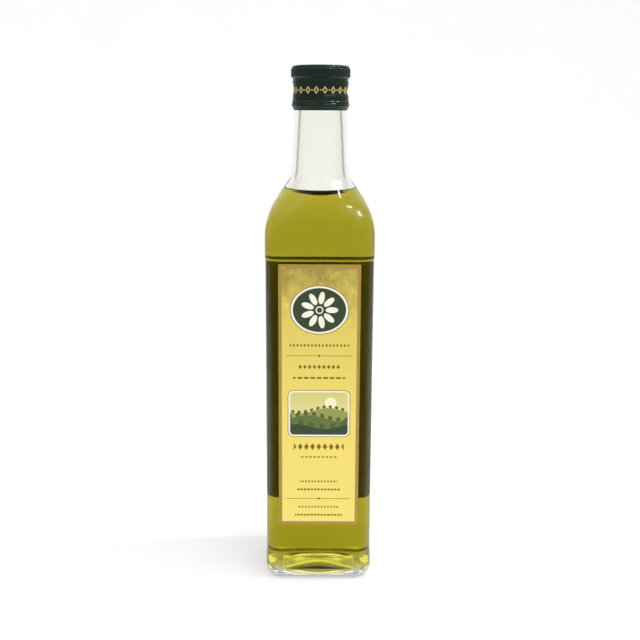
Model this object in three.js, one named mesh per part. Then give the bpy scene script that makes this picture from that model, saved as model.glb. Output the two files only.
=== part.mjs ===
// Square bottle of clear glass, shut with a rolled-on metal cap and filled with oil, with a paper
// label on the front and one on the back.
// Millimetres, +Z up. The origin is the middle of the base, and the front label faces -Y.
import * as THREE from "three";

const { lerp, smoothstep, degToRad } = THREE.MathUtils;

// Body
const BODY_SIDE = 57.4; // across the base band and across the band under the shoulder
const BODY_CORNER = 8.8; // plan radius of the four upright corners
const PANEL_RECESS = 0.3; // depth of the label panel, all the way round
const PANEL_BOTTOM = 13.8;
const PANEL_TOP = 176.2;
const PANEL_STEP = 1.1; // height of the slope at either end of the panel

// Base
const HEEL_RADIUS = 6.5;
const BEARING_WIDTH = 2.8; // flat ring that the bottle stands on
const PUNT_CORNER = 12; // corner radius at the rim of the push-up under the base
const PUNT_HEIGHT = 3;
const PUNT_RINGS = [1, 0.8, 0.55, 0.28]; // shares of the rim's size

// Shoulder and neck, as slopes from the upright
const SHOULDER_BOTTOM = 188.2;
const SHOULDER_RADIUS = 34.1;
const SHOULDER_SLOPE = degToRad(33.5);
const SHOULDER_STRAIGHT = 10.9;
const NECK_FILLET = 11;
const NECK_TAPER = degToRad(3.2);

// Finish, the part of the neck inside the cap
const FINISH_RADIUS = 13.3;
const LIP_TOP = 274.4;
const LIP_ROUND = 1.2;

// Inside
const WALL = 3.2; // measured in from the body's outer face
const FLOOR = 3.8; // height of the inner floor at its edge
const INNER_HEEL_RADIUS = 3.4;
const FLOOR_RISE = 3; // the floor swells over the push-up
const OIL_LEVEL = 209.5;
const OIL_GAP = 0.3;

// Cap, with the heights of its bands above its hem
const CAP_BOTTOM = 252.2;
const CAP_HEIGHT = 22.8;
const CAP_BORE = 13.7;
const CAP_SIDES = 64; // also the number of ridges in the grip band
const HEM_RADIUS = 14;
const BEAD_RADIUS = 15.15;
const BEAD = [2.4, 4.2];
const SLIT_DEPTH = 0.4; // line where the cap tears from its ring
const SLIT = [3.7, 4];
const SLIT_BEVEL = 0.1;
const SKIRT_RADIUS = 14.75;
const LOWER_SKIRT = [5.8, 6.8];
const UPPER_SKIRT = [13.6, 14.9];
const WAIST_RADIUS = 14.2; // drawn in over the thread
const WAIST = [9.2, 10.4];
const GROOVE_RADIUS = 14.5; // under the grip band
const GROOVE = 15.8;
const GRIP_RADIUS = 15.5;
const GRIP_DEPTH = 0.35;
const GRIP = [17.1, 20.7];
const CROWN_WIDTH = 2.3; // rounding of the top edge, seen from above

// Labels
const LABEL_WIDTH = 42.7;
const LABEL_BOTTOM = 32.3;
const FRONT_LABEL_TOP = 174.9;
const BACK_LABEL_TOP = 173.4;
const LABEL_THICKNESS = 0.15;
const LABEL_GLUE = 0.02;

// Facets in each quarter of the bottle, and in each arc of its outline
const CORNER_STEPS = 10;
const SHOULDER_STEPS = 7;
const FILLET_STEPS = 4;
const HEEL_STEPS = 4;
const LIP_STEPS = 3;
const CROWN_STEPS = 3;
const SMALLEST_CORNER = 1;

const BODY_HALF = BODY_SIDE / 2;
const PANEL_HALF = BODY_HALF - PANEL_RECESS;

const steps = (from, to, count) => Array.from({ length: count + 1 }, (_, i) => lerp(from, to, i / count));
const axisPoint = (z) => [new THREE.Vector3(0, 0, z)];

// One level of a rounded square. Its flats lie at half on either side, and a corner as large as half
// makes the level round.
function squareRing(half, corner, z) {
  const count = 4 * CORNER_STEPS;
  const step = (2 * Math.PI) / count;
  const core = half - corner * Math.cos(step / 2);
  return Array.from({ length: count }, (_, i) => {
    const turn = (i + 0.5) * step;
    const x = core * Math.sign(Math.cos(turn)) + corner * Math.cos(turn);
    const y = core * Math.sign(Math.sin(turn)) + corner * Math.sin(turn);
    return new THREE.Vector3(x, y, z);
  });
}

// One level of a round piece. With a flute, every second corner stands back by that depth.
function roundRing(radius, z, count, flute = 0) {
  return Array.from({ length: count }, (_, i) => {
    const turn = (i / count) * 2 * Math.PI;
    const reach = radius - flute * (i % 2);
    return new THREE.Vector3(reach * Math.cos(turn), reach * Math.sin(turn), z);
  });
}

// Closed surface through a run of rings, which starts and ends with a point on the axis. Two rings
// in a row have as many corners as each other, or one a multiple of the other.
function skin(rings) {
  const index = [];
  let start = 0;
  for (let k = 0; k + 1 < rings.length; k++) {
    const [low, high] = [rings[k].length, rings[k + 1].length];
    const count = Math.max(low, high);
    const lowAt = (i) => start + (Math.floor((i * low) / count) % low);
    const highAt = (i) => start + low + (Math.floor((i * high) / count) % high);
    for (let i = 0; i < count; i++) {
      if (lowAt(i) !== lowAt(i + 1)) index.push(lowAt(i), lowAt(i + 1), highAt(i + 1));
      if (highAt(i) !== highAt(i + 1)) index.push(lowAt(i), highAt(i + 1), highAt(i));
    }
    start += low;
  }
  const geometry = new THREE.BufferGeometry().setFromPoints(rings.flat());
  geometry.setIndex(index);
  geometry.computeVertexNormals();
  return geometry;
}

// Shoulder and neck as points (half, z) on the surface that lies depth inside the outer face: an arc,
// a straight slope, the hollow curve into the neck, and the neck's taper up to a height.
function shoulderLine(depth, top) {
  const outward = (slope) => new THREE.Vector2(Math.cos(slope), Math.sin(slope));
  const upward = (slope) => new THREE.Vector2(-Math.sin(slope), Math.cos(slope));
  const shoulderCentre = new THREE.Vector2(BODY_HALF - SHOULDER_RADIUS, SHOULDER_BOTTOM);
  const filletCentre = shoulderCentre
    .clone()
    .addScaledVector(outward(SHOULDER_SLOPE), SHOULDER_RADIUS + NECK_FILLET)
    .addScaledVector(upward(SHOULDER_SLOPE), SHOULDER_STRAIGHT);
  const arc = (centre, radius, from, to, count) =>
    steps(from, to, count).map((slope) => centre.clone().addScaledVector(outward(slope), radius));
  const line = [
    ...arc(shoulderCentre, SHOULDER_RADIUS - depth, 0, SHOULDER_SLOPE, SHOULDER_STEPS),
    ...arc(filletCentre, -NECK_FILLET - depth, SHOULDER_SLOPE, NECK_TAPER, FILLET_STEPS),
  ];
  const neckFoot = line.at(-1);
  line.push(new THREE.Vector2(neckFoot.x - (top - neckFoot.y) * Math.tan(NECK_TAPER), top));
  return line;
}

const NECK_FOOT = shoulderLine(0, CAP_BOTTOM).at(-2).y;

// The square of the body turns into the round of the neck over the height of the shoulder.
function wallRing({ x: half, y: z }, depth) {
  const roundness = smoothstep(z, SHOULDER_BOTTOM, NECK_FOOT);
  return squareRing(half, lerp(BODY_CORNER - depth, half, roundness), z);
}

// A shallow dome inside a rim, from the rim inwards.
function domeRings(rimHalf, rimCorner, z, rise) {
  const rings = PUNT_RINGS.map((share) => {
    const half = rimHalf * share;
    return squareRing(half, half * lerp(1, rimCorner / rimHalf, share), z + rise * (1 - share ** 2));
  });
  return [...rings, axisPoint(z + rise)];
}

// A quarter round between a flat at height z and an upright wall, from the flat upwards.
function heelRings(half, corner, z, radius) {
  return steps(0, Math.PI / 2, HEEL_STEPS).map((turn) => {
    const inset = radius * (1 - Math.sin(turn));
    return squareRing(half - inset, Math.max(corner - inset, SMALLEST_CORNER), z + radius * (1 - Math.cos(turn)));
  });
}

// Inside of the bottle from the middle of its floor up to a height, drawn in by a gap.
function innerRings(gap, top) {
  const depth = WALL + gap;
  const half = BODY_HALF - depth;
  const heel = INNER_HEEL_RADIUS - gap;
  const rim = half - heel;
  const wall = shoulderLine(depth, LIP_TOP);
  const under = wall.filter((point) => point.y < top);
  const next = wall[under.length];
  const last = under.at(-1);
  under.push(last.clone().lerp(next, (top - last.y) / (next.y - last.y)));
  return [
    ...domeRings(rim, PUNT_CORNER, FLOOR + gap, FLOOR_RISE).reverse(),
    ...heelRings(half, BODY_CORNER - depth, FLOOR + gap, heel).slice(1),
    ...under.map((point) => wallRing(point, depth)),
  ];
}

function bottleGeometry() {
  const bearing = BODY_HALF - HEEL_RADIUS - BEARING_WIDTH;
  const panelCorner = BODY_CORNER - PANEL_RECESS;
  const body = [
    squareRing(BODY_HALF, BODY_CORNER, PANEL_BOTTOM - PANEL_STEP),
    squareRing(PANEL_HALF, panelCorner, PANEL_BOTTOM),
    squareRing(PANEL_HALF, panelCorner, PANEL_TOP),
    squareRing(BODY_HALF, BODY_CORNER, PANEL_TOP + PANEL_STEP),
  ];
  const lip = steps(0, Math.PI / 2, LIP_STEPS).map((turn) => {
    const half = FINISH_RADIUS - LIP_ROUND * (1 - Math.cos(turn));
    return squareRing(half, half, LIP_TOP - LIP_ROUND * (1 - Math.sin(turn)));
  });
  return skin([
    ...domeRings(bearing, PUNT_CORNER, 0, PUNT_HEIGHT).reverse(),
    ...heelRings(BODY_HALF, BODY_CORNER, 0, HEEL_RADIUS),
    ...body,
    ...shoulderLine(0, CAP_BOTTOM).map((point) => wallRing(point, 0)),
    ...lip,
    ...innerRings(0, LIP_TOP).reverse(),
  ]);
}

function oilGeometry() {
  return skin([...innerRings(OIL_GAP, OIL_LEVEL), axisPoint(OIL_LEVEL)]);
}

// The cap's outline, as radius and height above the hem, runs up from the hem to the crown. The grip
// band has a ridge at every side.
function capGeometry() {
  const [slitBottom, slitTop] = SLIT;
  const [gripBottom, gripTop] = GRIP;
  const band = (radius, heights) => heights.map((z) => [radius, z]);
  const outline = [
    ...band(CAP_BORE, [0]),
    ...band(HEM_RADIUS, [0]),
    ...band(BEAD_RADIUS, [BEAD[0], slitBottom]),
    ...band(BEAD_RADIUS - SLIT_DEPTH, [slitBottom + SLIT_BEVEL, slitTop]),
    ...band(BEAD_RADIUS, [slitTop + SLIT_BEVEL, BEAD[1]]),
    ...band(SKIRT_RADIUS, LOWER_SKIRT),
    ...band(WAIST_RADIUS, WAIST),
    ...band(SKIRT_RADIUS, UPPER_SKIRT),
    ...band(GROOVE_RADIUS, [GROOVE]),
  ];
  const grip = [
    ...band(GRIP_RADIUS - GRIP_DEPTH, [gripBottom]),
    ...band(GRIP_RADIUS, [gripBottom + GRIP_DEPTH, gripTop]),
  ];
  const crownFoot = gripTop + GRIP_DEPTH;
  const crown = steps(0, Math.PI / 2, CROWN_STEPS).map((turn) => [
    GRIP_RADIUS - GRIP_DEPTH - CROWN_WIDTH * (1 - Math.cos(turn)),
    lerp(crownFoot, CAP_HEIGHT, Math.sin(turn)),
  ]);
  const plain = ([radius, z]) => roundRing(radius, CAP_BOTTOM + z, CAP_SIDES);
  const ridged = ([radius, z]) => roundRing(radius, CAP_BOTTOM + z, 2 * CAP_SIDES, GRIP_DEPTH);
  return skin([
    axisPoint(LIP_TOP),
    roundRing(CAP_BORE, LIP_TOP, CAP_SIDES),
    ...outline.map(plain),
    ...grip.map(ridged),
    ...crown.map(plain),
    axisPoint(CAP_BOTTOM + CAP_HEIGHT),
  ]);
}

// A strip that follows the front of the panel up to a height, bent a little round the corners at its ends.
function labelGeometry(top) {
  const edge = LABEL_WIDTH / 2;
  const front = squareRing(PANEL_HALF, BODY_CORNER - PANEL_RECESS, 0)
    .filter((point) => point.y < 0 && point.x > 0)
    .sort((a, b) => a.x - b.x);
  const outside = front.findIndex((point) => point.x > edge);
  const [last, next] = [front[outside - 1], front[outside]];
  const end = last.clone().lerp(next, (edge - last.x) / (next.x - last.x));
  const half = [...front.slice(0, outside), end];
  const line = [...half.map(({ x, y }) => new THREE.Vector2(-x, y)).reverse(), ...half];
  const inner = line.map(({ x, y }) => new THREE.Vector2(x, y - LABEL_GLUE));
  const outer = inner.map(({ x, y }) => new THREE.Vector2(x, y - LABEL_THICKNESS));
  const strip = new THREE.Shape([...outer, ...inner.reverse()]);
  return new THREE.ExtrudeGeometry(strip, { depth: top - LABEL_BOTTOM, bevelEnabled: false });
}

function piece(name, geometry, material) {
  const mesh = new THREE.Mesh(geometry, new THREE.MeshStandardMaterial(material));
  mesh.name = name;
  return mesh;
}

function label(name, top, turn) {
  const mesh = piece(name, labelGeometry(top), { color: 0xf0d86c, roughness: 0.45 });
  mesh.position.z = LABEL_BOTTOM;
  mesh.rotation.z = turn;
  return mesh;
}

const clearGlass = { color: 0xf2f6f0, roughness: 0.03, transparent: true, opacity: 0.3 };
const greenOil = { color: 0x9f9722, roughness: 0.05, transparent: true, opacity: 0.85 };
const greenLacquer = { color: 0x1d2b24, roughness: 0.35, metalness: 0.3 };

const bottle = new THREE.Group();
bottle.add(
  piece("glass_bottle", bottleGeometry(), clearGlass),
  piece("olive_oil", oilGeometry(), greenOil),
  piece("screw_cap", capGeometry(), greenLacquer),
  label("front_label", FRONT_LABEL_TOP, 0),
  label("back_label", BACK_LABEL_TOP, Math.PI),
);

export default bottle;
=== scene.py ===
import math

import bmesh
import bpy
from mathutils import Matrix, Vector


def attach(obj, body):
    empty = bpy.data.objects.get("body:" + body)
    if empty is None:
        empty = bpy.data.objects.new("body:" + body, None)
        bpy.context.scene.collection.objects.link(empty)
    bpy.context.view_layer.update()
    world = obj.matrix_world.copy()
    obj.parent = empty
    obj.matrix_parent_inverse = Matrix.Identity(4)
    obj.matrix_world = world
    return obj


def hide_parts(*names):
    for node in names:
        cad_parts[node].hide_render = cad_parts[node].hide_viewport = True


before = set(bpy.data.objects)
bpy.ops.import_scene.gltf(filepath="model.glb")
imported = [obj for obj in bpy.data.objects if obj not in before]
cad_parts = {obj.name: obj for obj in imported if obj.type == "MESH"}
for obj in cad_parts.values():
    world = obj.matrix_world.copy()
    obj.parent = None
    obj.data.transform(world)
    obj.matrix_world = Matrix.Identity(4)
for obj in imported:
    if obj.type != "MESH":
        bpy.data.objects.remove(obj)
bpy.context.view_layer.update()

mm = 0.001  # sizes of the bottle are in millimetres, meshes in metres
weld = 0.002 * mm  # points of a mesh nearer than this become one
nudge = 0.0001  # keeps a whole number from rounding down to the one below
print("frame loaded:", ", ".join(sorted(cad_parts)))


# one socket of a node; maths on it adds Math nodes beside that node
class Wire:
    def __init__(self, board, socket):
        self.board = board
        self.socket = socket

    def twin(self, name):
        return Wire(self.board, self.socket.node.outputs[name])

    def maths(self, operation, first, second=0.0, third=0.0):
        return self.board.add("ShaderNodeMath", {"operation": operation}, {0: first, 1: second, 2: third})

    def __add__(self, other):
        return self.maths("ADD", self, other)

    def __radd__(self, other):
        return self.maths("ADD", other, self)

    def __sub__(self, other):
        return self.maths("SUBTRACT", self, other)

    def __rsub__(self, other):
        return self.maths("SUBTRACT", other, self)

    def __mul__(self, other):
        return self.maths("MULTIPLY", self, other)

    def __rmul__(self, other):
        return self.maths("MULTIPLY", other, self)

    def __truediv__(self, other):
        return self.maths("DIVIDE", self, other)

    def __mod__(self, other):
        return self.maths("FLOORED_MODULO", self, other)

    def __pow__(self, other):
        return self.maths("POWER", self, other)

    def __neg__(self):
        return self.maths("MULTIPLY", self, -1.0)

    def __abs__(self):
        return self.maths("ABSOLUTE", self)

    def floor(self):
        return self.maths("FLOOR", self)

    def sin(self):
        return self.maths("SINE", self)

    def cos(self):
        return self.maths("COSINE", self)

    def least(self, other):
        return self.maths("MINIMUM", self, other)

    def most(self, other):
        return self.maths("MAXIMUM", self, other)

    def clamped(self):
        return self.most(0.0).least(1.0)

    def smooth(self, low, high):
        share = ((self - low) / (high - low)).clamped()
        return share * share * (3.0 - 2.0 * share)


# a node tree that hands out wires
class Board:
    def __init__(self, tree):
        self.tree = tree
        tree.nodes.clear()

    def add(self, kind, settings=None, inputs=None, take=0):
        node = self.tree.nodes.new(kind)
        for name, value in (settings or {}).items():
            if name == "stops":
                self.setStops(node.color_ramp.elements, value)
            else:
                setattr(node, name, value)
        for key, value in (inputs or {}).items():
            if isinstance(value, Wire):
                self.tree.links.new(value.socket, node.inputs[key])
            else:
                node.inputs[key].default_value = value
        return Wire(self, node.outputs[take]) if node.outputs else node

    def setStops(self, elements, stops):
        while len(elements) < len(stops):
            elements.new(1.0)
        for element, (position, colour) in zip(elements, stops):
            element.position = position
            element.color = colour

    def mix(self, share, first, second):
        return self.add("ShaderNodeMix", {"data_type": "RGBA"}, {0: share, 6: first, 7: second}, take=2)

    def ramp(self, share, stops):
        return self.add("ShaderNodeValToRGB", {"stops": stops}, {0: share})

    def vector(self, x, y, z):
        return self.add("ShaderNodeCombineXYZ", {}, {0: x, 1: y, 2: z})

    def split(self, vector):
        x = self.add("ShaderNodeSeparateXYZ", {}, {0: vector})
        return x, x.twin("Y"), x.twin("Z")

    def noise(self, place, scale, detail=2.0, roughness=0.5):
        inputs = {"Vector": place, "Scale": scale, "Detail": detail, "Roughness": roughness}
        return self.add("ShaderNodeTexNoise", {}, inputs)


def shade(red, green, blue):
    # screen colour, 0 to 255, as the linear colour that nodes take
    linear = []
    for channel in (red, green, blue):
        value = channel / 255
        linear.append(value / 12.92 if value < 0.04045 else ((value + 0.055) / 1.055) ** 2.4)
    return (*linear, 1.0)


def grey(value):
    return (value, value, value, 1)


def newMaterial(name):
    material = bpy.data.materials.new(name)
    material.use_nodes = True
    return material, Board(material.node_tree)


def finishMaterial(board, inputs, volume=None):
    links = {"Surface": board.add("ShaderNodeBsdfPrincipled", {}, inputs)}
    if volume:
        links["Volume"] = board.add("ShaderNodeVolumeAbsorption", {}, volume)
    board.add("ShaderNodeOutputMaterial", {}, links)


def objectPlace(board):
    return board.add("ShaderNodeTexCoord", take="Object")


def bump(board, height, distance):
    return board.add("ShaderNodeBump", {}, {"Height": height, "Distance": distance})


def growTree(name, sockets):
    tree = bpy.data.node_groups.new(name, "GeometryNodeTree")
    tree.interface.new_socket("Geometry", in_out="INPUT", socket_type="NodeSocketGeometry")
    for label, kind in sockets:
        tree.interface.new_socket(label, in_out="INPUT", socket_type="NodeSocket" + kind)
    tree.interface.new_socket("Geometry", in_out="OUTPUT", socket_type="NodeSocketGeometry")
    return Board(tree)


# a sheet with a row for each seed point, and the row and column of its points
def seedGrid(board, levels, columns):
    rowCount = board.add("GeometryNodeAttributeDomainSize", {"component": "MESH"}, {0: levels})
    grid = board.add("GeometryNodeMeshGrid", {}, {"Vertices X": rowCount, "Vertices Y": columns})
    index = board.add("GeometryNodeInputIndex")
    row = (index / columns + nudge).floor()
    return grid, row, index - row * columns


def sampleRow(board, levels, row, kind, value):
    inputs = {"Geometry": levels, "Value": value, "Index": row}
    return board.add("GeometryNodeSampleIndex", {"data_type": kind, "domain": "POINT"}, inputs)


# joins the sheet's edges, turns it outward and paints it
def closeTree(board, sheet, material):
    closed = board.add("GeometryNodeMergeByDistance", {}, {"Geometry": sheet, "Distance": weld})
    outward = board.add("GeometryNodeFlipFaces", {}, {0: closed})
    even = board.add("GeometryNodeSetShadeSmooth", {}, {"Geometry": outward, "Shade Smooth": True})
    whole = board.add("GeometryNodeRealizeInstances", {}, {"Geometry": even})
    painted = board.add("GeometryNodeSetMaterial", {}, {"Geometry": whole, "Material": material})
    board.add("NodeGroupOutput", {}, {0: painted})


def growMesh(name, seedMesh, board, values):
    seed = bpy.data.objects.new(name, seedMesh)
    bpy.context.scene.collection.objects.link(seed)
    modifier = seed.modifiers.new("grow", "NODES")
    modifier.node_group = board.tree
    for socket in board.tree.interface.items_tree:
        if socket.in_out == "INPUT" and socket.name in values:
            modifier[socket.identifier] = values[socket.name]
    grown = seed.evaluated_get(bpy.context.evaluated_depsgraph_get())
    mesh = bpy.data.meshes.new_from_object(grown)
    seed.modifiers.remove(modifier)
    seed.data = mesh
    mesh.name = name
    if mesh.materials[0] is None:  # the seed's empty slot
        mesh.materials.pop(index=0)
    for face in mesh.polygons:
        face.material_index = 0
    return seed


# seed points, with shares that each point holds by name
def pointMesh(name, points, shares=None):
    mesh = bpy.data.meshes.new(name)
    mesh.from_pydata([Vector(point) * mm for point in points], [], [])
    for label, values in (shares or {}).items():
        layer = mesh.attributes.new(label, "FLOAT", "POINT")
        for item, value in zip(layer.data, values):
            item.value = value
    return mesh


def settle(piece, node):
    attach(piece, "root")
    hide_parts(node)
    print(piece.name, len(piece.data.polygons), "faces")


def lerp(low, high, share):
    return low + (high - low) * share


def steps(low, high, count):
    return [lerp(low, high, i / count) for i in range(count + 1)]


def clamped(value):
    return min(max(value, 0), 1)


def eased(value):
    share = clamped(value)
    return share * share * (3 - 2 * share)


# fillets the corners of an outline of (half, z, fillet radius)
def rounded(points, facets):
    line = []
    for i, (x, z, radius) in enumerate(points):
        here = Vector((x, z))
        if radius == 0:
            line.append(here)
            continue
        back = (Vector(points[i - 1][:2]) - here).normalized()
        ahead = (Vector(points[i + 1][:2]) - here).normalized()
        half = back.angle(ahead) / 2
        middle = here + (back + ahead).normalized() * radius / math.sin(half)
        first = here + back * radius / math.tan(half) - middle
        last = here + ahead * radius / math.tan(half) - middle
        sweep = first.angle_signed(last)
        for share in steps(0, 1, facets):
            turn = -sweep * share
            spun = Vector((first.x * math.cos(turn) - first.y * math.sin(turn),
                           first.x * math.sin(turn) + first.y * math.cos(turn)))
            line.append(middle + spun)
    return line


# loft through rounded squares: each seed point holds half width, corner radius and height
def loftTree():
    sockets = [("Corner Steps", "Int"), ("Flat Steps", "Int"), ("Material", "Material")]
    board = growTree("roundedSquareLoft", sockets)
    levels = board.add("NodeGroupInput", take="Geometry")
    cornerSteps = levels.twin("Corner Steps")
    flatSteps = levels.twin("Flat Steps")
    perSide = cornerSteps + flatSteps
    grid, row, column = seedGrid(board, levels, perSide * 4 + 1)
    spot = board.add("GeometryNodeInputPosition")
    half, corner, height = board.split(sampleRow(board, levels, row, "FLOAT_VECTOR", spot))
    quarter = (column / perSide + nudge).floor()
    along = column - quarter * perSide
    turn = (quarter + (along / cornerSteps).least(1.0)) * (math.pi / 2)
    slide = ((along - cornerSteps) / flatSteps).most(0.0)
    pivot = (quarter + 0.5) * (math.pi / 2)
    core = (half - corner) * math.sqrt(2)
    x = core * (pivot.cos() * (1 - slide) - pivot.sin() * slide) + corner * turn.cos()
    y = core * (pivot.sin() * (1 - slide) + pivot.cos() * slide) + corner * turn.sin()
    moved = {"Geometry": grid, "Position": board.vector(x, y, height)}
    closeTree(board, board.add("GeometryNodeSetPosition", {}, moved), levels.twin("Material"))
    return board


loft = loftTree()

bottle = {
    "bodyHalf": 28.7, "bodyCorner": 8.8, "footCorner": 2.3, "bodyTop": 184.2,
    "panelRecess": 0.3, "panelBottom": 13.8, "panelTop": 176.2, "panelStep": 1.1, "panelFillet": 1.2,
    "heelRadius": 6.5, "bearingWidth": 2.8, "puntCorner": 12, "puntHeight": 3, "puntFillet": 1.5,
    "domeEdge": 0.94, "shoulderBottom": 188.2, "shoulderRadius": 34.1, "shoulderSlope": math.radians(33.5),
    "shoulderStraight": 10.9, "neckFillet": 11, "neckTaper": math.radians(3.2), "neckStart": 0.1,
    "capBottom": 252.2, "finishBottom": 254.2, "finishRadius": 13.3, "lipTop": 274.4, "lipRound": 1.2,
    "wall": 3.2, "floor": 3.8, "innerHeel": 3.4, "floorRise": 3,
    "innerHeelTop": 19.8, "sideBottom": 30, "sideTop": 186.2,
    "cornerSteps": 22, "flatSteps": 6,
}
# rows of points along each stretch of the outline
rows = {"dome": 10, "body": 10, "shoulder": 18, "neckFillet": 14, "neck": 6, "lip": 6,
        "innerHeel": 12, "side": 8, "rim": 40}
oil = {"level": 206.1, "intoWall": 0.15, "capillary": 3.6, "contactSlope": math.radians(88),
       "lastSlope": math.radians(1.5), "flatRings": (0.66, 0.33, 0),
       "backCling": 0.1, "easeFrom": 0.1, "easeOver": 0.6}


# shoulder and neck as (half, z), a depth inside the outer face, up to a height
def shoulderLine(depth, top):
    slope, taper = bottle["shoulderSlope"], bottle["neckTaper"]
    radius, fillet = bottle["shoulderRadius"], bottle["neckFillet"]
    centre = Vector((bottle["bodyHalf"] - radius, bottle["shoulderBottom"]))
    outward = Vector((math.cos(slope), math.sin(slope)))
    upward = Vector((-math.sin(slope), math.cos(slope)))
    filletCentre = centre + outward * (radius + fillet) + upward * bottle["shoulderStraight"]
    line = []
    for turn in steps(0, slope, rows["shoulder"]):
        line.append(centre + Vector((math.cos(turn), math.sin(turn))) * (radius - depth))
    low = line[-1]
    hollow = []
    for turn in steps(slope, taper, rows["neckFillet"]):
        hollow.append(filletCentre - Vector((math.cos(turn), math.sin(turn))) * (fillet + depth))
    line += [low.lerp(hollow[0], share) for share in (0.25, 0.5, 0.75)] + hollow
    foot = hollow[-1]
    tip = Vector((foot.x - (top - foot.y) * math.tan(taper), top))
    return line + [foot.lerp(tip, share) for share in steps(bottle["neckStart"], 1, rows["neck"])], foot.y


neckFoot = shoulderLine(0, bottle["capBottom"])[1]


# the plan goes from a rounded square at the shoulder's foot to a circle at the neck's
def wallLevels(line, depth):
    levels = []
    for half, z in line:
        share = eased((z - bottle["shoulderBottom"]) / (neckFoot - bottle["shoulderBottom"]))
        levels.append((half, lerp(bottle["bodyCorner"] - depth, half, share), z))
    return levels


def domeLevels(rim, rimCorner, z, rise):
    levels = []
    for share in steps(0, bottle["domeEdge"], rows["dome"]):
        half = rim * share
        levels.append((half, half * lerp(1, rimCorner / rim, share), z + rise * (1 - share ** 2)))
    return levels


# levels under the shoulder, where the plan corner shrinks as the level draws in
def bodyLevels(line, half, corner, rim, rimCorner):
    foot = half - (corner - bottle["footCorner"])
    levels = []
    for x, z in line:
        if x > foot:
            levels.append((x, corner - (half - x), z))
        else:
            share = min((foot - x) / (foot - rim), 1)
            levels.append((x, lerp(bottle["footCorner"], rimCorner, share), z))
    return levels


# the inner face, with a gap to it, from the middle of the floor up to a height
def innerLevels(gap, top):
    depth = bottle["wall"] + gap
    half = bottle["bodyHalf"] - depth
    heel = bottle["innerHeel"] - gap
    rim = half - heel
    floorHeight = bottle["floor"] + gap
    dome = domeLevels(rim, bottle["puntCorner"], floorHeight, bottle["floorRise"])
    edge, _, edgeHeight = dome[-1]
    heelPoints = [(edge, edgeHeight, 0), (half, floorHeight, heel), (half, bottle["innerHeelTop"], 0)]
    heelLine = rounded(heelPoints, rows["innerHeel"])[1:]
    walls = bodyLevels(heelLine, half, bottle["bodyCorner"] - depth, rim, bottle["puntCorner"])
    line = [Vector((half, z)) for z in steps(bottle["sideBottom"], bottle["sideTop"], rows["side"])]
    line += shoulderLine(depth, bottle["lipTop"])[0]
    under = [point for point in line if point.y < top]
    if len(under) < len(line):
        last, following = under[-1], line[len(under)]
        under.append(last.lerp(following, (top - last.y) / (following.y - last.y)))
    return dome + walls + wallLevels(under, depth)


def bottleLevels():
    half = bottle["bodyHalf"]
    panel = half - bottle["panelRecess"]
    bearing = half - bottle["heelRadius"] - bottle["bearingWidth"]
    dome = domeLevels(bearing, bottle["puntCorner"], 0, bottle["puntHeight"])
    edge, _, edgeHeight = dome[-1]
    fillet = bottle["panelFillet"]
    bodyLine = rounded([
        (edge, edgeHeight, 0),
        (bearing, 0, bottle["puntFillet"]),
        (half, 0, bottle["heelRadius"]),
        (half, bottle["panelBottom"] - bottle["panelStep"], fillet),
        (panel, bottle["panelBottom"], fillet),
        (panel, bottle["panelTop"], fillet),
        (half, bottle["panelTop"] + bottle["panelStep"], fillet),
        (half, bottle["bodyTop"], 0),
    ], rows["body"])[1:]
    lip = rounded([
        (bottle["finishRadius"], bottle["finishBottom"], 0),
        (bottle["finishRadius"], bottle["lipTop"], bottle["lipRound"]),
        (bottle["finishRadius"] - 2 * bottle["lipRound"], bottle["lipTop"], 0),
    ], rows["lip"])[:-1]
    outer = bodyLevels(bodyLine, half, bottle["bodyCorner"], bearing, bottle["puntCorner"])
    outer += wallLevels(shoulderLine(0, bottle["capBottom"])[0], 0)
    return dome + outer + [(x, x, z) for x, z in lip] + innerLevels(0, bottle["lipTop"])[::-1]


# the oil creeps up the wall: reach and height of its surface by slope, as capillarity gives them
def meniscus():
    slopes = steps(oil["contactSlope"], oil["lastSlope"], rows["rim"])
    before = slopes[0]
    reach = 0.0
    curve = []
    for slope in slopes:
        middle = (slope + before) / 2
        reach += oil["capillary"] * math.cos(middle / 2) / math.tan(middle) * (before - slope)
        curve.append((reach, 2 * oil["capillary"] * math.sin(slope / 2)))
        before = slope
    return curve


def oilLevels():
    curve = meniscus()
    levels = innerLevels(-oil["intoWall"], oil["level"] + curve[0][1])
    rimHalf, rimCorner, _ = levels[-1]
    for reach, rise in curve[1:]:
        size = (rimHalf - reach) / rimHalf
        levels.append((rimHalf * size, rimCorner * size, oil["level"] + rise))
    half, corner, _ = levels[-1]
    return levels + [(half * share, corner * share, oil["level"]) for share in oil["flatRings"]]


glassLook = {"ior": 1.5, "tint": (0.94, 0.94, 0.9, 1), "deepTint": (0.925, 0.925, 0.88, 1),
             "swirl": 28.0, "ripple": 0.0002, "haze": 0.01}
oilLook = {"ior": 1.47, "density": 85.0, "colour": (0.776, 0.746, 0.05, 1), "tint": (1.0, 1.0, 1.0, 1),
           "deepTint": (0.985, 0.99, 0.96, 1), "cloud": 40.0, "haze": 0.01}
# how strongly faces mirror what is straight ahead: where oil wets the glass, not at all
mirror = {"foot": grey(1.0), "wall": grey(0.0), "neck": grey(0.18), "wet": grey(0.0)}
# heights between which the glass has a material of its own
glassZones = {"under": -1, "wallTop": 178.2, "wetBottom": 3.7}
# how far out or down a face has to look to count as such
facing = {"out": 0.3, "down": -0.6}


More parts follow.
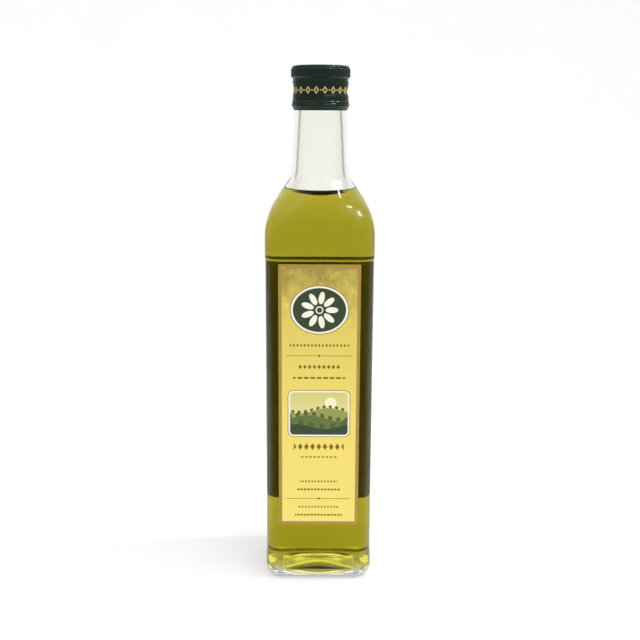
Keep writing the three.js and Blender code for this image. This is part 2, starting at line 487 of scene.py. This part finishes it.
def glassMaterial(name, part):
    material, board = newMaterial(name)
    swirl = board.noise(objectPlace(board), glassLook["swirl"], detail=1.0)
    finishMaterial(board, {
        "Base Color": board.mix(swirl, glassLook["tint"], glassLook["deepTint"]),
        "Roughness": swirl * glassLook["haze"],
        "IOR": glassLook["ior"],
        "Transmission Weight": 1.0,
        "Specular Tint": mirror[part],
        "Normal": bump(board, swirl, glassLook["ripple"]),
    })
    return material


def oilMaterial():
    material, board = newMaterial("greenOil")
    cloud = board.noise(objectPlace(board), oilLook["cloud"])
    finishMaterial(board, {
        "Base Color": board.mix(cloud, oilLook["tint"], oilLook["deepTint"]),
        "Roughness": cloud * oilLook["haze"],
        "IOR": oilLook["ior"],
        "Transmission Weight": 1.0,
        "Specular Tint": mirror["wet"],
    }, {"Color": oilLook["colour"], "Density": oilLook["density"]})
    return material


# gives the faces between two heights that look out, in or down another material
def markFaces(piece, material, low, high, way):
    slots = piece.data.materials
    slots.append(material)
    for face in piece.data.polygons:
        spot = Vector((face.center.x, face.center.y, 0))
        outward = face.normal.dot(spot.normalized()) if spot.length > 0 else 0
        looks = "in"
        if outward > facing["out"]:
            looks = "out"
        elif face.normal.z < facing["down"]:
            looks = "down"
        if low < face.center.z / mm < high and looks == way:
            face.material_index = len(slots) - 1


# the oil clings less to the back wall
def easeBack(piece):
    for vertex in piece.data.vertices:
        rise = vertex.co.z / mm - oil["level"]
        radius = vertex.co.xy.length / mm
        if rise > 0 and radius > 0:
            backward = vertex.co.y / mm / radius
            drop = rise * (1 - oil["backCling"]) * eased((backward - oil["easeFrom"]) / oil["easeOver"])
            vertex.co.z -= drop * mm
            vertex.co.xy *= 1 + drop * math.tan(bottle["shoulderSlope"]) / radius


clearGlass = glassMaterial("clearGlass", "neck")
wallGlass = glassMaterial("wallGlass", "wall")
footGlass = glassMaterial("footGlass", "foot")
wetGlass = glassMaterial("wetGlass", "wet")
greenOil = oilMaterial()

contact = oil["level"] + meniscus()[0][1]
ringSteps = {"Corner Steps": bottle["cornerSteps"], "Flat Steps": bottle["flatSteps"]}
bottleSeed = pointMesh("bottleLevels", bottleLevels())
glassBottle = growMesh("glassBottle", bottleSeed, loft, {**ringSteps, "Material": clearGlass})
markFaces(glassBottle, wallGlass, glassZones["under"], glassZones["wallTop"], "out")
markFaces(glassBottle, footGlass, glassZones["under"], bottle["floor"], "down")
markFaces(glassBottle, wetGlass, glassZones["wetBottom"], contact, "in")
settle(glassBottle, "glass_bottle")
oilSeed = pointMesh("oilLevels", oilLevels())
oilBody = growMesh("oilBody", oilSeed, loft, {**ringSteps, "Material": greenOil})
easeBack(oilBody)
settle(oilBody, "olive_oil")

cap = {
    "bottom": bottle["capBottom"], "ceiling": 22.2, "ceilingRings": (0, 0.6, 1), "skin": 0.2, "filletRows": 5,
    "ridges": 64, "perRidge": 6, "ridgeDepth": 0.27, "ridgeFade": (16.6, 0.8, 21.6, 0.7), "fluteCurve": 1.5,
    "threadDepth": 0.34, "threadPitch": 6.6, "threadStart": 261.5, "threadFade": (5.6, 1.2, 15.6, 1.0),
    "threadCurve": 2.0,
    "slitDepth": 0.4, "slitBottom": 3.55, "slitTop": 4.0,
    "bridges": 10, "bridgeWidth": 0.09, "bridgeFade": 1.5,
}
capRadii = {"bore": 13.7, "hem": 14.0, "beadFoot": 14.6, "beadRoll": 15.17, "bead": 15.15, "skirt": 14.75,
            "waist": 14.3, "groove": 14.5, "grip": 15.5, "gripStep": 15.2, "crown": 15.15,
            "crownEdge": 12.3, "crownOuter": 8, "crownInner": 4, "axis": 0}
# radius, height above the lower edge and fillet radius, from inside the bore to the middle of the top
capOutline = [
    ("bore", 19.8, 0), ("bore", 0, 0.12), ("hem", 0, 0.12), ("beadFoot", 1.5, 0.8), ("beadRoll", 2.3, 0.5),
    ("bead", 3.45, 0), ("bead", 3.6, 0), ("bead", 3.75, 0), ("bead", 3.95, 0), ("bead", 4.1, 0),
    ("bead", 4.3, 0.3), ("skirt", 4.78, 0.3), ("skirt", 7.2, 1.5), ("waist", 9.2, 1.5), ("waist", 11.2, 1.5),
    ("skirt", 13.6, 1.5), ("skirt", 14.9, 0.5), ("groove", 15.2, 0.15), ("groove", 16.1, 0.3),
    ("grip", 17.0, 0.35), ("grip", 20.9, 0.4), ("gripStep", 21.2, 0.3), ("crown", 22.8, 1.5),
    ("crownEdge", 22.8, 0), ("crownOuter", 22.8, 0), ("crownInner", 22.8, 0), ("axis", 22.8, 0),
]


# the cap turns a run of levels, each with shares of ridge, thread and slit, round its axis
def capTree():
    sockets = [("Ridges", "Int"), ("Per Ridge", "Int"), ("Ridge Depth", "Float"), ("Thread Depth", "Float"),
               ("Thread Pitch", "Float"), ("Thread Start", "Float"), ("Slit Depth", "Float"),
               ("Bridges", "Float"), ("Bridge Width", "Float"), ("Material", "Material")]
    board = growTree("capTurning", sockets)
    levels = board.add("NodeGroupInput", take="Geometry")
    value = {name: levels.twin(name) for name, _ in sockets}
    columns = value["Ridges"] * value["Per Ridge"] + 1
    grid, row, column = seedGrid(board, levels, columns)
    turn = column / (columns - 1)
    angle = turn * (2 * math.pi)

    def share(name):
        named = board.add("GeometryNodeInputNamedAttribute", {"data_type": "FLOAT"}, {"Name": name})
        return sampleRow(board, levels, row, "FLOAT", named)

    seedSpot = board.add("GeometryNodeInputPosition")
    radius, _, height = board.split(sampleRow(board, levels, row, "FLOAT_VECTOR", seedSpot))
    ridge = share("ridge")
    flute = 0.5 - 0.5 * (turn * value["Ridges"] * (2 * math.pi)).cos()
    spiral = (height - value["Thread Start"]) / value["Thread Pitch"] - turn
    thread = (0.5 + 0.5 * (spiral * (2 * math.pi)).cos()) ** cap["threadCurve"]
    narrow = value["Bridge Width"]
    bridge = abs((turn * value["Bridges"]) % 1.0 - 0.5).smooth(narrow, narrow * cap["bridgeFade"])
    reach = (radius - ridge * value["Ridge Depth"] * flute ** cap["fluteCurve"]
             - share("thread") * value["Thread Depth"] * thread
             - share("slit") * value["Slit Depth"] * bridge)
    spot = board.vector(reach * angle.cos(), reach * angle.sin(), height)
    wall = board.add("GeometryNodeSetPosition", {}, {"Geometry": grid, "Position": spot})
    crest = {"Geometry": wall, "Name": "crest", "Value": ridge * (1 - flute)}
    marked = board.add("GeometryNodeStoreNamedAttribute", {"data_type": "FLOAT", "domain": "POINT"}, crest)
    closeTree(board, marked, value["Material"])
    return board


# share that fades in from low over rise and out to high over fall
def fade(z, low, rise, high, fall):
    return clamped((z - low) / rise) * clamped((high - z) / fall)


def capLevels():
    line = [Vector((capRadii["bore"] * share, cap["ceiling"])) for share in cap["ceilingRings"]]
    line += rounded([(capRadii[name], z, fillet) for name, z, fillet in capOutline], cap["filletRows"])
    shares = {"ridge": [], "thread": [], "slit": []}
    for radius, z in line:
        outside = radius > capRadii["bore"] + cap["skin"]
        inSlit = cap["slitBottom"] < z < cap["slitTop"]
        shares["ridge"].append(fade(z, *cap["ridgeFade"]) if outside else 0.0)
        shares["thread"].append(fade(z, *cap["threadFade"]) if outside else 0.0)
        shares["slit"].append(1.0 if inSlit and outside else 0.0)
    return pointMesh("capLevels", [(radius, 0, cap["bottom"] + z) for radius, z in line], shares)


capLook = {"deep": shade(6, 26, 15), "pale": shade(15, 36, 24), "worn": shade(34, 54, 42),
           "gold": shade(206, 190, 118), "goldDark": shade(168, 150, 84), "blur": 0.1,
           "grain": 900.0, "drift": 90.0, "driftShare": 0.6, "wear": 0.5, "grainBump": 0.00003,
           "roughness": 0.34, "grainRough": 0.12, "driftRough": 0.08,
           "specular": 0.08, "coat": 0.35, "coatRough": 0.1}
# gold marks round the waist: lozenges with a hole, and dots between them
capMarks = {"height": 262.4, "wide": 1.5, "tall": 2.0, "count": 20, "hole": 0.45, "slant": 0.8, "dot": 0.42}


def capGilt(board, place):
    x, y, z = board.split(place)
    turn = x.maths("ARCTAN2", y, x) / (2 * math.pi) * capMarks["count"]
    pitch = 2 * math.pi * capRadii["waist"] / capMarks["count"]
    around = (turn % 1.0 - 0.5) * pitch
    rise = z / mm - capMarks["height"]
    spread = abs(around) / capMarks["wide"] + abs(rise) / capMarks["tall"]
    lozenge = (spread - 1.0) * capMarks["wide"] * capMarks["slant"]
    hole = (spread - capMarks["hole"]) * capMarks["wide"] * capMarks["slant"]
    between = pitch / 2 - abs(around)
    dots = (between * between + rise * rise) ** 0.5 - capMarks["dot"]
    marks = (0.5 - lozenge.most(-hole).least(dots) / capLook["blur"]).clamped()
    radius = (x * x + y * y) ** 0.5 / mm
    return marks * radius.smooth(capRadii["bore"] + cap["skin"] / 2, capRadii["bore"] + cap["skin"])


def lacquerMaterial():
    material, board = newMaterial("greenLacquer")
    place = objectPlace(board)
    grain = board.noise(place, capLook["grain"], detail=3.0)
    drift = board.noise(place, capLook["drift"])
    crest = board.add("ShaderNodeAttribute", {"attribute_name": "crest"}, take="Fac")
    cloud = drift * capLook["driftShare"] + grain * (1 - capLook["driftShare"])
    tone = board.mix(cloud, capLook["deep"], capLook["pale"])
    lacquer = board.mix((crest * grain * capLook["wear"]).clamped(), tone, capLook["worn"])
    gold = board.mix(grain, capLook["gold"], capLook["goldDark"])
    finishMaterial(board, {
        "Base Color": board.mix(capGilt(board, place), lacquer, gold),
        "Roughness": capLook["roughness"] + capLook["grainRough"] * grain + capLook["driftRough"] * drift,
        "Specular IOR Level": capLook["specular"],
        "Coat Weight": capLook["coat"],
        "Coat Roughness": capLook["coatRough"],
        "Normal": bump(board, grain, capLook["grainBump"]),
    })
    return material


capShell = growMesh("capShell", capLevels(), capTree(), {
    "Ridges": cap["ridges"], "Per Ridge": cap["perRidge"], "Ridge Depth": cap["ridgeDepth"] * mm,
    "Thread Depth": cap["threadDepth"] * mm, "Thread Pitch": cap["threadPitch"] * mm,
    "Thread Start": cap["threadStart"] * mm, "Slit Depth": cap["slitDepth"] * mm,
    "Bridges": float(cap["bridges"]), "Bridge Width": cap["bridgeWidth"], "Material": lacquerMaterial(),
})
settle(capShell, "screw_cap")

label = {"half": 21.35, "bottom": 32.3, "top": 174.9, "backTop": 173.4, "thickness": 0.15, "glue": 0.02,
         "bite": 0.06, "border": 1.75,
         "panelHalf": bottle["bodyHalf"] - bottle["panelRecess"],
         "panelCorner": bottle["bodyCorner"] - bottle["panelRecess"],
         "bendSteps": 5, "flatSteps": 24, "tallSteps": 60}


# closed sheet on the panel, which side -1 puts on the front and 1 on the back
def labelMesh(name, side, top):
    flat = label["panelHalf"] - label["panelCorner"]
    xs = steps(-label["half"], -flat, label["bendSteps"])[:-1]
    xs += steps(-flat, flat, label["flatSteps"])
    xs += steps(flat, label["half"], label["bendSteps"])[1:]
    zs = steps(label["bottom"], top, label["tallSteps"])
    mesh = bmesh.new()
    skins = []
    for lift in (-label["bite"], label["glue"] + label["thickness"]):  # the paper wets the glass
        skin = []
        for x in xs:
            bend = max(abs(x) - flat, 0)
            y = flat + math.sqrt(label["panelCorner"] ** 2 - bend ** 2) + lift
            skin.append([mesh.verts.new(Vector((-side * x, side * y, z)) * mm) for z in zs])
        skins.append(skin)
    inner, outer = skins
    for i in range(len(xs) - 1):
        for k in range(len(zs) - 1):
            mesh.faces.new((outer[i][k], outer[i + 1][k], outer[i + 1][k + 1], outer[i][k + 1]))
            reverse = mesh.faces.new((inner[i][k], inner[i][k + 1], inner[i + 1][k + 1], inner[i + 1][k]))
            reverse.material_index = 1
        for k in (0, -1):
            mesh.faces.new((inner[i][k], inner[i + 1][k], outer[i + 1][k], outer[i][k]))
    for k in range(len(zs) - 1):
        for i in (0, -1):
            mesh.faces.new((inner[i][k], outer[i][k], outer[i][k + 1], inner[i][k + 1]))
    bmesh.ops.recalc_face_normals(mesh, faces=mesh.faces)
    data = bpy.data.meshes.new(name)
    mesh.to_mesh(data)
    mesh.free()
    piece = bpy.data.objects.new(name, data)
    bpy.context.scene.collection.objects.link(piece)
    return piece


printLook = {
    "gold": [(0.0, shade(247, 225, 118)), (0.45, shade(243, 220, 110)), (0.8, shade(228, 206, 98)),
             (1.0, shade(166, 146, 68))],
    "bronze": shade(160, 130, 62), "bronzeLight": shade(178, 150, 74),
    "ink": shade(122, 100, 22), "ivory": shade(250, 246, 226), "green": shade(40, 66, 44),
    "leaf": shade(74, 96, 44), "sun": shade(252, 244, 206),
    "sky": [(0.0, shade(246, 236, 176)), (1.0, shade(214, 206, 120))],
    "hills": [shade(150, 156, 78), shade(96, 114, 56), shade(44, 70, 44)],
    "blur": 0.08, "slant": 0.8, "outline": 0.35, "mottle": 160.0, "mottleShare": 0.45, "fibre": 2600.0,
    "fibreTint": 0.06, "fibreBump": 0.00002, "roughness": 0.42, "fibreRough": 0.1, "specular": 0.3,
}
# the glow colours and strength paint light onto the paper's reverse
reverseLook = {
    "pale": shade(236, 232, 216), "dark": shade(222, 216, 196), "pulp": 500.0,
    "glow": (1.0, 0.95, 0.4, 1), "glowDark": (0.8, 0.75, 0.3, 1), "strength": 0.07,
    "roughness": 0.6, "pulpRough": 0.1,
}
rosette = {"middle": 151.0, "wide": 15.0, "tall": 12.6, "rim": 1.0, "petals": 9, "petalMiddle": 6.5,
           "petalLong": 3.3, "petalHalf": 1.55, "heart": 1.7, "heartLine": 0.3}
# hills have base, swell, pace and shift, and the trees along each have pitch and size
orchard = {"middle": 95.0, "wide": 16.2, "tall": 12.6, "corner": 3.0, "rim": 0.9, "sun": (6.2, 6.0, 3.0),
           "hills": [(1.6, 1.5, 0.2, 0.6), (-2.6, 1.7, 0.17, 2.6), (-7.2, 1.3, 0.21, 4.1)],
           "trees": [(3.3, 0.85), (4.3, 1.15), (5.7, 1.55)], "treeLift": 0.9}
rules = {"front": [126.6, 47.2], "back": [131.0, 52.0], "reach": 17.3, "half": 0.14, "dot": 0.6}
# marks that repeat along a row: pitch, half width and half height
lozenges = {"smallLozenge": (1.9, 0.62, 0.95), "middleLozenge": (2.5, 0.95, 1.2),
            "largeLozenge": (3.3, 1.25, 1.9), "fineLozenge": (1.7, 0.55, 0.8)}
dashes = {"longDash": (3.4, 1.25, 0.5), "thinDash": (2.2, 0.7, 0.35), "shortDash": (1.8, 0.62, 0.5)}
# rows of marks: height, reach to either side and mark
ornament = {
    "front": [(132.2, 15.4, "smallLozenge"), (120.6, 11.3, "middleLozenge"), (114.6, 13.7, "longDash"),
              (76.6, 13.3, "largeLozenge"), (70.8, 10.0, "thinDash"), (57.0, 10.2, "fineLozenge"),
              (52.4, 11.7, "shortDash"), (42.4, 11.1, "fineLozenge"), (37.8, 12.7, "shortDash")],
    "back": [(125.0, 15.4, "longDash"), (119.0, 15.4, "smallLozenge"), (113.0, 13.7, "longDash"),
             (107.0, 15.4, "longDash"), (95.0, 13.3, "largeLozenge"), (84.0, 15.4, "longDash"),
             (78.0, 11.9, "longDash"), (72.0, 15.4, "longDash"), (44.0, 12.7, "shortDash")],
}


def filled(distance):
    return (0.5 - distance / printLook["blur"]).clamped()


def far(x, z):
    return (x * x + z * z) ** 0.5


# place within a row that repeats, measured from the nearest middle
def repeat(x, pitch):
    return (x + pitch / 2) % pitch - pitch / 2


def paperField(board, x, z, place, top):
    inset = (label["half"] - abs(x)).least((z - label["bottom"]).least(top - z))
    rise = (z - label["bottom"]) / (top - label["bottom"])
    mottle = board.noise(place, printLook["mottle"], detail=4.0, roughness=0.6)
    cloud = (rise + (mottle - 0.5) * printLook["mottleShare"] * rise * rise).clamped()
    return inset, mottle, board.ramp(cloud, printLook["gold"])


def paintRules(board, colour, x, z, heights):
    for height in heights:
        rule = filled(abs(z - height) - rules["half"]) * filled(abs(x) - rules["reach"])
        dot = filled(far(x, z - height) - rules["dot"])
        colour = board.mix(rule.most(dot), colour, printLook["ink"])
    return colour


def paintOrnament(board, colour, x, z, markRows):
    for height, reach, name in markRows:
        pitch, wide, tall = lozenges[name] if name in lozenges else dashes[name]
        along = abs(repeat(x, pitch))
        across = abs(z - height)
        if name in lozenges:
            mark = filled((along / wide + across / tall - 1.0) * min(wide, tall) * printLook["slant"])
        else:
            mark = filled((along - wide).most(across - tall))
        colour = board.mix(mark * filled(abs(x) - reach), colour, printLook["ink"])
    return colour


# oval with a rim and a flower
def paintRosette(board, colour, x, z):
    up = z - rosette["middle"]
    away = (far(x / rosette["wide"], up / rosette["tall"]) - 1.0) * rosette["tall"]
    colour = board.mix(filled(away - printLook["outline"]), colour, printLook["ink"])
    colour = board.mix(filled(away), colour, printLook["ivory"])
    colour = board.mix(filled(away + rosette["rim"]), colour, printLook["green"])
    sector = repeat(x.maths("ARCTAN2", up, x), 2 * math.pi / rosette["petals"])
    reach = far(x, up)
    along = (reach * sector.cos() - rosette["petalMiddle"]) / rosette["petalLong"]
    across = reach * sector.sin() / rosette["petalHalf"]
    petal = filled((far(along, across) - 1.0) * rosette["petalHalf"])
    colour = board.mix(petal, colour, printLook["ivory"])
    heart = filled(abs(reach - rosette["heart"]) - rosette["heartLine"])
    return board.mix(heart, colour, printLook["ivory"])


# framed view of trees on low hills
def paintOrchard(board, colour, x, z):
    up = z - orchard["middle"]
    side = abs(x) - (orchard["wide"] - orchard["corner"])
    end = abs(up) - (orchard["tall"] - orchard["corner"])
    away = far(side.most(0.0), end.most(0.0)) + side.most(end).least(0.0) - orchard["corner"]
    colour = board.mix(filled(away - printLook["outline"]), colour, printLook["ink"])
    colour = board.mix(filled(away), colour, printLook["ivory"])
    sky = board.ramp((up / (2 * orchard["tall"]) + 0.5).clamped(), printLook["sky"])
    sunX, sunZ, sunRadius = orchard["sun"]
    picture = board.mix(filled(far(x - sunX, up - sunZ) - sunRadius), sky, printLook["sun"])
    for tone, hill, trees in zip(printLook["hills"], orchard["hills"], orchard["trees"]):
        base, swell, pace, shift = hill
        pitch, size = trees
        line = base + swell * (x * pace + shift).sin()
        spot = repeat(x + shift, pitch)
        crown = filled(far(spot, up - line - size * orchard["treeLift"]) - size)
        picture = board.mix(crown, picture, printLook["leaf"])
        picture = board.mix(filled(up - line), picture, tone)
    return board.mix(filled(away + orchard["rim"]), colour, picture)


def paperMaterial(name, face, top):
    material, board = newMaterial(name)
    place = objectPlace(board)
    x, _, z = board.split(place)
    x, z = x / mm, z / mm
    inset, mottle, colour = paperField(board, x, z, place, top)
    if face == "front":
        colour = paintOrchard(board, colour, x, z)
    colour = paintRosette(board, colour, x, z)
    colour = paintRules(board, colour, x, z, rules[face])
    colour = paintOrnament(board, colour, x, z, ornament[face])
    bronze = board.mix(mottle, printLook["bronze"], printLook["bronzeLight"])
    colour = board.mix(filled(inset - label["border"]), colour, bronze)
    fibre = board.noise(place, printLook["fibre"])
    finishMaterial(board, {
        "Base Color": board.mix(fibre * printLook["fibreTint"], colour, printLook["bronze"]),
        "Roughness": printLook["roughness"] + printLook["fibreRough"] * fibre,
        "Specular IOR Level": printLook["specular"],
        "Normal": bump(board, fibre, printLook["fibreBump"]),
    })
    return material


# the side of the paper on the glass; its faint gold glow is painted light, standing in for daylight coming
# through the paper
def reverseMaterial():
    material, board = newMaterial("paperReverse")
    pulp = board.noise(objectPlace(board), reverseLook["pulp"], detail=3.0)
    finishMaterial(board, {
        "Base Color": board.mix(pulp, reverseLook["pale"], reverseLook["dark"]),
        "Roughness": reverseLook["roughness"] + reverseLook["pulpRough"] * pulp,
        # painted glow: the reverse gives off a faint gold light of its own
        "Emission Color": board.mix(pulp, reverseLook["glow"], reverseLook["glowDark"]),
        "Emission Strength": reverseLook["strength"],
    })
    return material


paperReverse = reverseMaterial()
frontLabel = labelMesh("frontLabel", -1, label["top"])
frontLabel.data.materials.append(paperMaterial("frontPaper", "front", label["top"]))
frontLabel.data.materials.append(paperReverse)
settle(frontLabel, "front_label")
backLabel = labelMesh("backLabel", 1, label["backTop"])
backLabel.data.materials.append(paperMaterial("backPaper", "back", label["backTop"]))
backLabel.data.materials.append(paperReverse)
settle(backLabel, "back_label")

# a pale bowl in millimetres; its fades, in metres, are painted shade that darkens what lies in front and to
# the sides, and its glow is painted light that lightens the shadows on it
studio = {"wallRadius": 1900, "wallHeight": 1300, "cove": 600, "coveRows": 24,
          "cornerSteps": 24, "flatSteps": 2}
floorLook = {"pale": grey(0.62), "warm": (0.64, 0.64, 0.636, 1), "dim": grey(0.33), "speck": 6.0,
             "glow": 0.64, "roughness": 0.8, "speckRough": 0.1, "specular": 0.1,
             "frontFade": (0.2, 0.9), "sideFade": (0.1, 0.6), "viewSpread": 0.45, "viewStart": 0.53}


def floorMaterial():
    material, board = newMaterial("paleFloor")
    place = objectPlace(board)
    speck = board.noise(place, floorLook["speck"], detail=3.0)
    side, depth, _ = board.split(place)
    pale = board.mix(speck, floorLook["pale"], floorLook["warm"])
    # painted shade: the floor is darker in front of the bottle and out to the sides
    beside = abs(side) - floorLook["viewSpread"] * (depth + floorLook["viewStart"])
    away = (-depth).smooth(*floorLook["frontFade"]).most(beside.smooth(*floorLook["sideFade"]))
    tone = board.mix(away, pale, floorLook["dim"])
    # painted light: the floor glows with its own tone, which lightens the shadows on it
    finishMaterial(board, {
        "Base Color": tone,
        "Emission Color": tone,
        "Emission Strength": floorLook["glow"],
        "Roughness": floorLook["roughness"] + floorLook["speckRough"] * speck,
        "Specular IOR Level": floorLook["specular"],
    })
    return material


coveLine = [(0, 0, 0), (studio["wallRadius"], 0, studio["cove"]),
            (studio["wallRadius"], studio["wallHeight"], 0)]
coveLevels = [(x, x, z) for x, z in rounded(coveLine, studio["coveRows"])]
floor = growMesh("studioFloor", pointMesh("coveLevels", coveLevels), loft, {
    "Corner Steps": studio["cornerSteps"], "Flat Steps": studio["flatSteps"], "Material": floorMaterial(),
})
floor.data.flip_normals()

softLight = {"colour": (1.0, 1.0, 1.0, 1), "strength": 0.58}
world = bpy.data.worlds.new("softWorld")
bpy.context.scene.world = world
world.use_nodes = True
background = world.node_tree.nodes["Background"]
background.inputs["Color"].default_value = softLight["colour"]
background.inputs["Strength"].default_value = softLight["strength"]

# lamps face the middle of the bottle; their ends are degrees to the right and up, and metres away
aim = Vector((0, 0, 0.2))
lamps = [
    {"name": "upperBar", "ends": [(77, 64.5, 1), (87, 55.5, 1)], "width": 0.03, "power": 2.3},
    {"name": "lowerBar", "ends": [(100, 49.5, 1), (94, 45, 1)], "width": 0.025, "power": 3},
    {"name": "rightLight", "ends": [(42, 25, 1.6), (42, 65, 1.6)], "width": 1.2, "power": 9},
    {"name": "leftLight", "ends": [(-50, 30, 1.6), (-50, 70, 1.6)], "width": 1.2, "power": 5.8},
]
backLamp = {"name": "backLight", "low": (0, 1.75, 0.7), "high": (0, 1.75, 1.4), "width": 2.4, "power": 7}


def towards(azimuth, elevation, distance):
    right, up = math.radians(azimuth), math.radians(elevation)
    level = distance * math.cos(up)
    return aim + Vector((level * math.sin(right), -level * math.cos(right), distance * math.sin(up)))


def addLight(lamp, first, last):
    light = bpy.data.lights.new(lamp["name"], "AREA")
    light.shape = "RECTANGLE"
    light.size = lamp["width"]
    light.size_y = (last - first).length
    light.energy = lamp["power"]
    piece = bpy.data.objects.new(lamp["name"], light)
    piece.location = (first + last) / 2
    back = (piece.location - aim).normalized()
    along = (last - first - (last - first).dot(back) * back).normalized()
    piece.rotation_euler = Matrix((along.cross(back), along, back)).transposed().to_euler()
    bpy.context.scene.collection.objects.link(piece)


for lamp in lamps:
    first, last = [towards(*end) for end in lamp["ends"]]
    addLight(lamp, first, last)
addLight(backLamp, Vector(backLamp["low"]), Vector(backLamp["high"]))

view = {"focalPixels": 980, "widthPixels": 640, "sensor": 36, "place": (-0.00026, -0.52625, 0.2518),
        "tilt": 12.027, "roll": 0.3}
camera = bpy.data.cameras.new("photoView")
camera.sensor_width = view["sensor"]
camera.lens = view["focalPixels"] / view["widthPixels"] * view["sensor"]
eye = bpy.data.objects.new("photoView", camera)
eye.location = view["place"]
eye.rotation_euler = (math.radians(90 - view["tilt"]), math.radians(-view["roll"]), 0)
bpy.context.scene.collection.objects.link(eye)
bpy.context.scene.camera = eye
bpy.context.scene.view_settings.view_transform = "Standard"

# light has to pass many faces of glass and oil
bounces = {"all": 32, "through": 32, "mirrored": 8}
cycles = bpy.context.scene.cycles
cycles.max_bounces = bounces["all"]
cycles.transmission_bounces = bounces["through"]
cycles.glossy_bounces = bounces["mirrored"]
cycles.sample_clamp_indirect = 0
print("studio ready")
